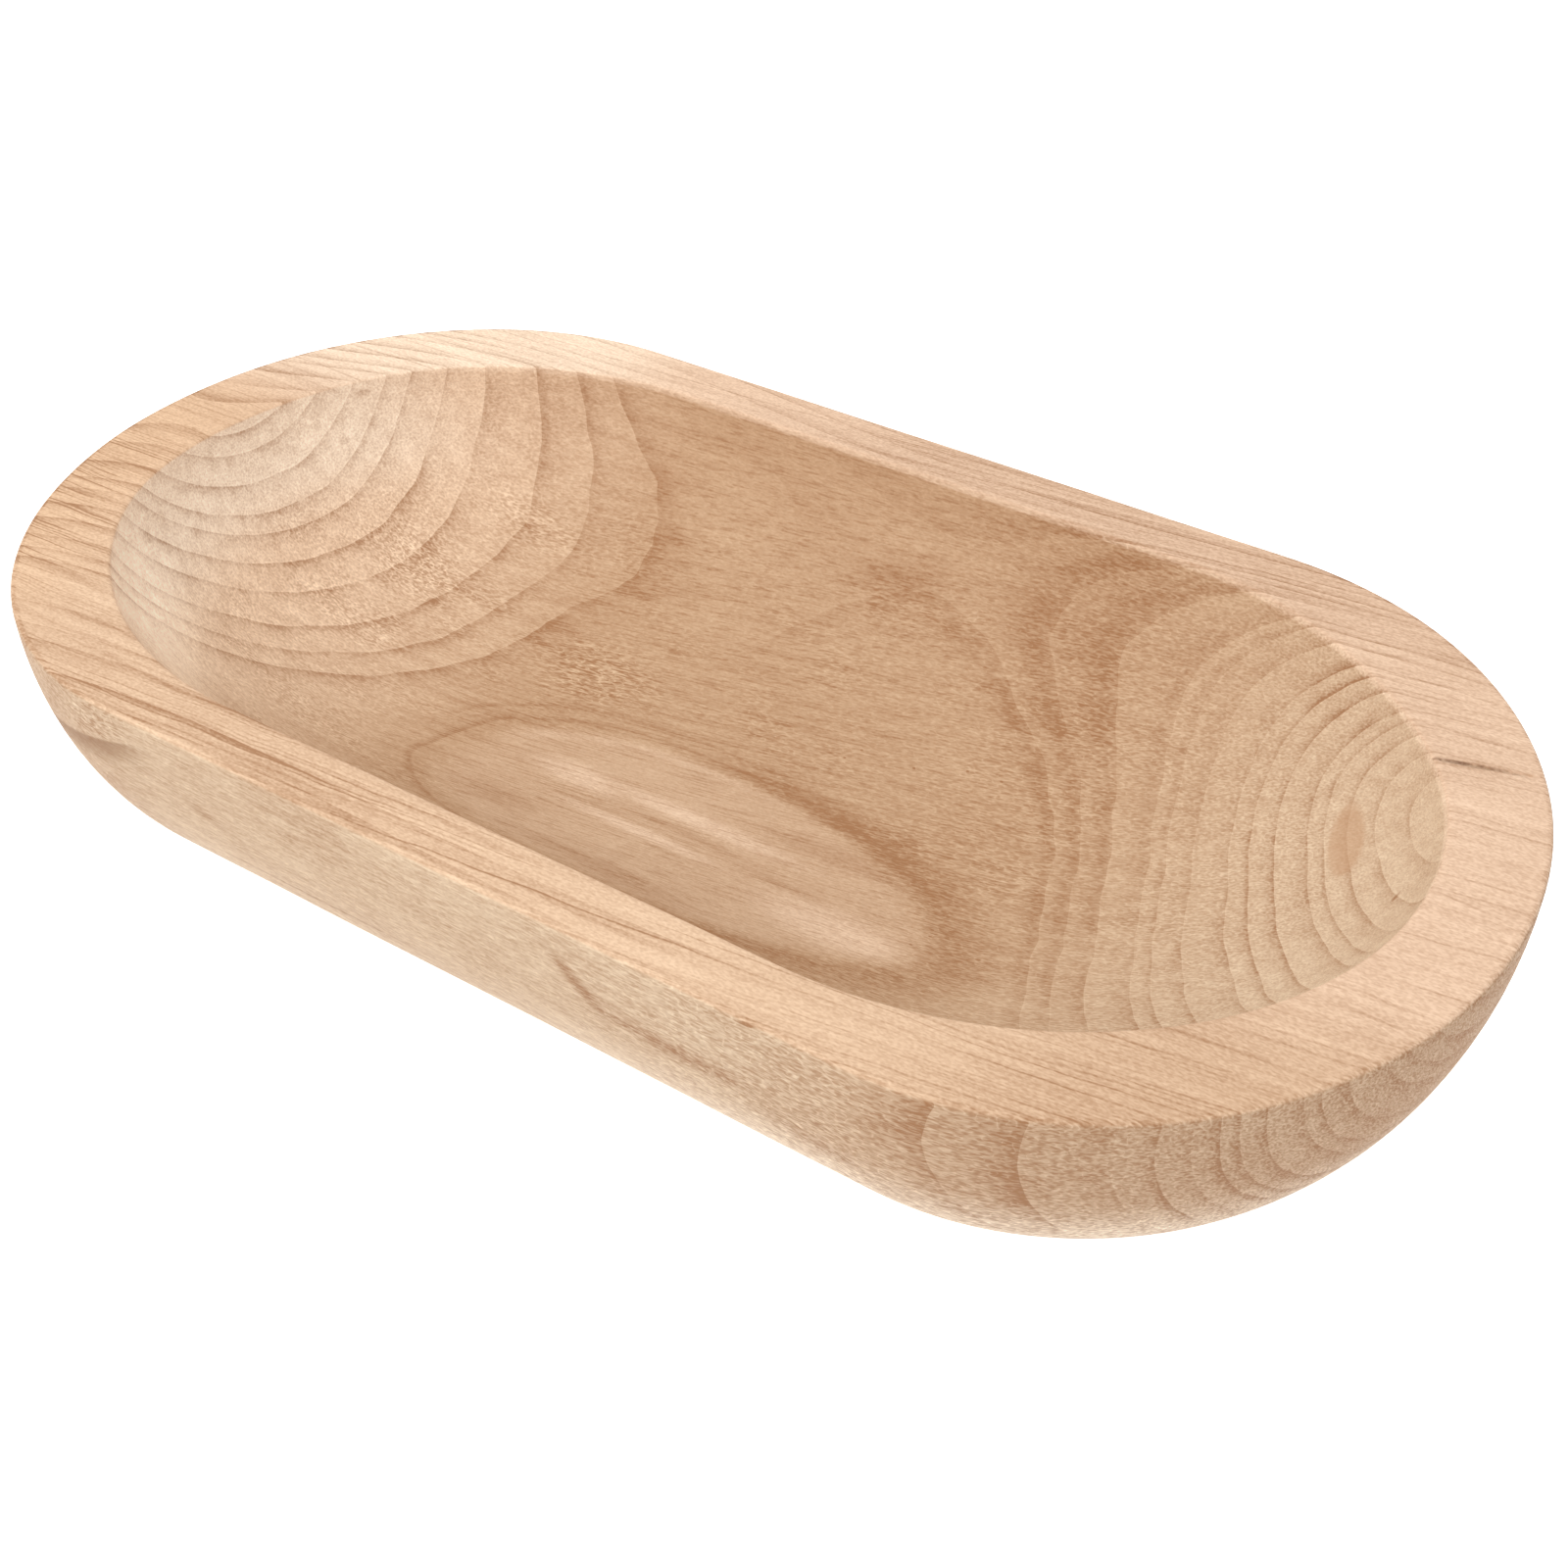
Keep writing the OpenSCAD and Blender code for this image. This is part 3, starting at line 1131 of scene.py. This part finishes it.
# %% Add up the brownness
calm_oval = fade(in_oval, 0, 1, 1, 0.4)
right_slope = times(hollow, fade(x, 50, 100))
streak_share = times(more(right_slope, -0.18, fade(outside, 0, 1, 0.3, 0.45)), calm_oval)
broad_share = times(fade(rim, 0, 1, 0.45, 0.3), calm_oval)
spring_share = more(outside, 0.6, 0.32)

GRAIN_SHARES = (
    (pores, pore_share),
    (grit, fade(rim, 0, 1, 0.14, 0.22)),
    (rim_lines, 0.4),
    (dashes, times(flat_floor, fade(x, -40, 60, 0.3, 0.22))),
    (centred(streaks), streak_share),
    (centred(broad), broad_share),
    (wall_grain, times(outside, fade(x, 130, 60), 0.26)),
    (centred(mottle), fade(outside, 0, 1, 0.25, 0.45)),
    (lead_in, -0.05),
)
MARK_SHARES = (
    (oval_brown, 0.42),
    (dark_tip, 0.35),
    (painted_crack_shade, 0.5),
    (left_dots, 0.35),
    (pins, 0.7),
    (rim_streaks, 0.3),
    (wall_streaks, 0.55),
    (small_cuts, 0.7),
)
brownness = times(more(thin_line, 0.26, times(spring, spring_share)), edge_strength)
for part, share in (*GRAIN_SHARES, *PLACE_SHARES, *MARK_SHARES):
    brownness = more(part, share, brownness)
print("brownness of", len(GRAIN_SHARES), "grains and", len(MARK_SHARES), "marks")

# %% [markdown]
# ## Colour
# Brownness mixes the place's own tone with one brown. The mix isn't held above zero, so a
# part that brings light can make the wood paler than its tone, but it is held below a
# darkest share. The knot and the smooth patch have tones of their own on top, and a painted
# shadow darkens the crack.

# %% Mix the colour
BROWN = tone(160, 108, 66)
KNOT_BROWN = tone(152, 112, 78)
PATCH_TAN = tone(200, 158, 122)
CRACK_SHADOW_BROWN = tone(122, 82, 58)
EVERYWHERE = 0.03
DARKEST_SHARE = 0.82

grain_mix = node("Mix", data_type="RGBA", clamp_factor=False)
put(calc("MINIMUM", calc("ADD", brownness, EVERYWHERE), DARKEST_SHARE), grain_mix.inputs[0])
put(base_tone, grain_mix.inputs[6])
put(BROWN, grain_mix.inputs[7])
wood_colour = blend(times(knot, 0.75), grain_mix.outputs[2], KNOT_BROWN)
wood_colour = blend(times(tip_patch, 0.6), wood_colour, PATCH_TAN)
# Painted shadow: the crack's groove is darkened to a deep brown.
wood_colour = blend(painted_crack_shadow, wood_colour, CRACK_SHADOW_BROWN)
print("brown of the grain", [round(value, 3) for value in BROWN[:3]])

# %% [markdown]
# ## Sheen and touch
# Bare sanded wood has almost no gloss. Open pores are tiny dents, and the fibres stand a
# little proud, so both go into a bump that is only felt up close.

# %% Finish the material
BUMP_HEIGHT = 0.00012
BUMP_STRENGTH = 0.6
GLOSS = 0.25

surface = more(stipple, -0.5, times(streaks, -0.5))
bump = node("Bump")
put(BUMP_STRENGTH, bump.inputs["Strength"])
put(BUMP_HEIGHT, bump.inputs["Distance"])
put(surface, bump.inputs["Height"])
shader = node("BsdfPrincipled")
put(wood_colour, shader.inputs["Base Color"])
put(fade(stipple, 0, 1, 0.6, 0.7), shader.inputs["Roughness"])
put(bump.outputs[0], shader.inputs["Normal"])
put(GLOSS, shader.inputs["Specular IOR Level"])
put(shader.outputs[0], node("OutputMaterial").inputs["Surface"])
bowl_data.materials.append(wood)
print("wood material:", len(tree.nodes), "nodes")

# %% [markdown]
# ## Floor
# The floor is a plain pale sheet that fills the view from any side. It lies a hair below the
# base, so the two don't touch.

# %% Lay the floor
FLOOR_REACH = 4.0
FLOOR_DROP = 0.0002
FLOOR_CELLS = 8

floor_mesh = bmesh.new()
bmesh.ops.create_grid(
    floor_mesh, x_segments=FLOOR_CELLS, y_segments=FLOOR_CELLS, size=FLOOR_REACH,
)
bmesh.ops.translate(floor_mesh, vec=(0, 0, -FLOOR_DROP), verts=floor_mesh.verts)
floor_data = bpy.data.meshes.new("floor")
floor_mesh.to_mesh(floor_data)
floor_mesh.free()
floor = bpy.data.objects.new("floor", floor_data)
scene.collection.objects.link(floor)
print("floor", FLOOR_REACH * 2, "m across")

# %% [markdown]
# ## White paint
# The camera sees the floor's lit colour lifted to white, and only the part in shade stays a
# little grey, so the bowl still stands on something. Other rays see plain pale paint, so the
# floor throws no more light on the bowl than a real one.

# %% Paint the floor
FLOOR_PAINT = (0.86, 0.86, 0.86, 1)

paint = bpy.data.materials.new("white_floor")
tree = start_tree(paint)
matt = node("BsdfDiffuse")
put(FLOOR_PAINT, matt.inputs["Color"])
lift = node("Emission")
put(WHITE, lift.inputs["Color"])
ray = node("LightPath").outputs
put(most(ray["Is Camera Ray"], ray["Is Glossy Ray"]), lift.inputs["Strength"])
both = node("AddShader")
put(matt.outputs[0], both.inputs[0])
put(lift.outputs[0], both.inputs[1])
put(both.outputs[0], node("OutputMaterial").inputs["Surface"])
floor_data.materials.append(paint)
print("floor painted with", len(tree.nodes), "nodes")
